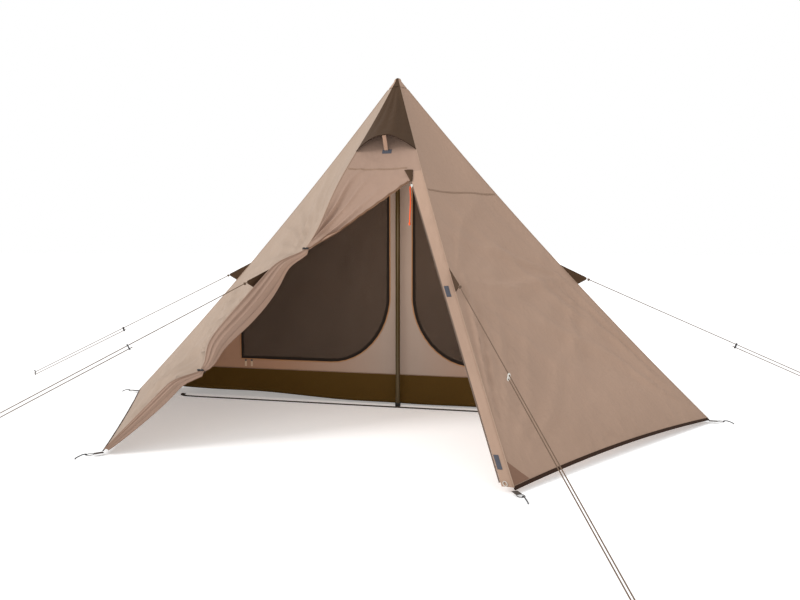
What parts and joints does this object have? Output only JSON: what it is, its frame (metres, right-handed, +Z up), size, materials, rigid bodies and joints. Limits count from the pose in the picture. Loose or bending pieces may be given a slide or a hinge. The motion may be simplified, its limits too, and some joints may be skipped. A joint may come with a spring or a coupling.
{
  "type": "one-pole tent",
  "caption": "Pyramid tent on a centre pole, its front door gathered to one side, with a hooded roof vent, guy lines and a mesh-doored inner tent behind the pole.",
  "frame": {"origin": "on the ground at the pole's axis, in the middle of the pitched fly", "axes": "+Z up, +X to the right as seen from the open front door, and the door faces -Y"},
  "size_m": [5.2632, 3.8103, 1.806],
  "materials": {
    "fly_light": "light tan coated polyester, slightly crinkled",
    "fly_right": "brownish tan coated polyester, slightly crinkled",
    "fly_door": "tan coated polyester, slightly crinkled",
    "black_plastic": "black moulded plastic",
    "white_plastic": "off-white moulded plastic",
    "orange_cord": "orange braided cord",
    "brown_fabric": "dark brown woven polyester",
    "mesh_fabric": "dark fine insect mesh",
    "tan_webbing": "tan woven webbing",
    "grey_webbing": "grey woven webbing",
    "dark_steel": "dark metal",
    "tan_rope": "tan braided guy rope",
    "pole_paint": "olive powder-coated steel tube",
    "floor_fabric": "dark brown coated groundsheet",
    "inner_fabric": "light taupe breathable polyester",
    "inner_tan": "tan breathable polyester"
  },
  "bodies": {
    "tent": {"fly_left_panel": "fly_light", "fly_back_left_panel": "fly_light", "fly_back_panel": "fly_light", "fly_back_right_panel": "fly_light", "fly_right_panel": "fly_right", "fly_front_door_panel": "fly_door", "door_placket": "fly_right", "door_zip_chain": "black_plastic", "door_toggle_upper": "black_plastic", "door_toggle_lower": "black_plastic", "vent_hood": "brown_fabric", "vent_mesh": "mesh_fabric", "hem_binding": "brown_fabric", "corner_tie_right": "grey_webbing", "corner_peg_right": "dark_steel", "guy_tab_right": "brown_fabric", "corner_tie_back_right": "grey_webbing", "corner_peg_back_right": "dark_steel", "guy_tab_back_right": "brown_fabric", "corner_tie_back_left": "grey_webbing", "corner_peg_back_left": "dark_steel", "guy_tab_back_left": "brown_fabric", "corner_tie_left": "grey_webbing", "corner_peg_left": "dark_steel", "guy_tab_left": "brown_fabric", "corner_tie_front_left": "grey_webbing", "corner_peg_front_left": "dark_steel", "guy_tab_front_left": "brown_fabric", "corner_tie_front_right": "grey_webbing", "corner_peg_front_right": "dark_steel", "guy_tab_front_right": "brown_fabric", "guy_rope_left": "tan_rope", "guy_rope_front_left": "tan_rope", "guy_rope_front_right": "tan_rope", "guy_rope_right": "tan_rope", "pole_foot": "black_plastic", "pole_lower": "pole_paint", "pole_middle": "pole_paint", "pole_upper": "pole_paint", "apex_cap": "fly_door", "inner_floor": "floor_fabric", "inner_front_wall": "inner_fabric", "inner_wall_back_left": "inner_tan", "inner_wall_back": "inner_tan", "inner_wall_back_right": "inner_tan", "inner_hanging_strap": "tan_webbing", "ground_strap": "grey_webbing"},
    "door_zip_slider": {"door_zip_slider": "white_plastic", "door_zip_pull_cord": "orange_cord"},
    "vent_prop": {"vent_prop_strap": "tan_webbing"},
    "inner_door_left": {"inner_door_left": "mesh_fabric"},
    "inner_door_right": {"inner_door_right": "mesh_fabric"},
    "inner_slider_left_outer": {"inner_slider_left_outer": "tan_webbing"},
    "inner_slider_left_inner": {"inner_slider_left_inner": "tan_webbing"},
    "inner_slider_right_outer": {"inner_slider_right_outer": "tan_webbing"},
    "inner_slider_right_inner": {"inner_slider_right_inner": "tan_webbing"},
    "guy_runner_left": {"guy_runner_left": "dark_steel"},
    "guy_runner_front_left": {"guy_runner_front_left": "dark_steel"},
    "guy_runner_front_right": {"guy_runner_front_right": "white_plastic"},
    "guy_runner_right": {"guy_runner_right": "dark_steel"}
  },
  "joints": [
    {"name": "door_zip_slide", "type": "slide", "parent": "tent", "child": "door_zip_slider", "axis": [0.3537, -0.5955, -0.7213], "range_m": [0, 1.567]},
    {"name": "vent_prop_hinge", "type": "hinge", "parent": "tent", "child": "vent_prop", "pos_m": [0.01448, -0.32427, 1.45015], "axis": [-1, 0, 0], "range_deg": [0, 80]},
    {"name": "inner_door_left_hinge", "type": "hinge", "parent": "tent", "child": "inner_door_left", "pos_m": [-0.98, 0.07, 0.47], "axis": [-0.6685, 0, -0.7438], "range_deg": [0, 70]},
    {"name": "inner_door_right_hinge", "type": "hinge", "parent": "tent", "child": "inner_door_right", "pos_m": [0.98, 0.07, 0.47], "axis": [-0.6685, 0, 0.7438], "range_deg": [0, 70]},
    {"name": "inner_slider_left_outer_slide", "type": "slide", "parent": "tent", "child": "inner_slider_left_outer", "axis": [1, 0, 0], "range_m": [-0.02, 0.018]},
    {"name": "inner_slider_left_inner_slide", "type": "slide", "parent": "tent", "child": "inner_slider_left_inner", "axis": [1, 0, 0], "range_m": [0, 0.49]},
    {"name": "inner_slider_right_outer_slide", "type": "slide", "parent": "tent", "child": "inner_slider_right_outer", "axis": [-1, 0, 0], "range_m": [-0.02, 0.018]},
    {"name": "inner_slider_right_inner_slide", "type": "slide", "parent": "tent", "child": "inner_slider_right_inner", "axis": [-1, 0, 0], "range_m": [0, 0.49]},
    {"name": "guy_runner_left_slide", "type": "slide", "parent": "tent", "child": "guy_runner_left", "axis": [-0.9023, 0.2096, -0.3768], "range_m": [0, 0.25]},
    {"name": "guy_runner_front_left_slide", "type": "slide", "parent": "tent", "child": "guy_runner_front_left", "axis": [-0.7101, -0.5399, -0.4519], "range_m": [0, 0.25]},
    {"name": "guy_runner_front_right_slide", "type": "slide", "parent": "tent", "child": "guy_runner_front_right", "axis": [0.4103, -0.8174, -0.4043], "range_m": [0, 0.25]},
    {"name": "guy_runner_right_slide", "type": "slide", "parent": "tent", "child": "guy_runner_right", "axis": [0.8844, 0.2398, -0.4003], "range_m": [0, 0.25]}
  ]
}
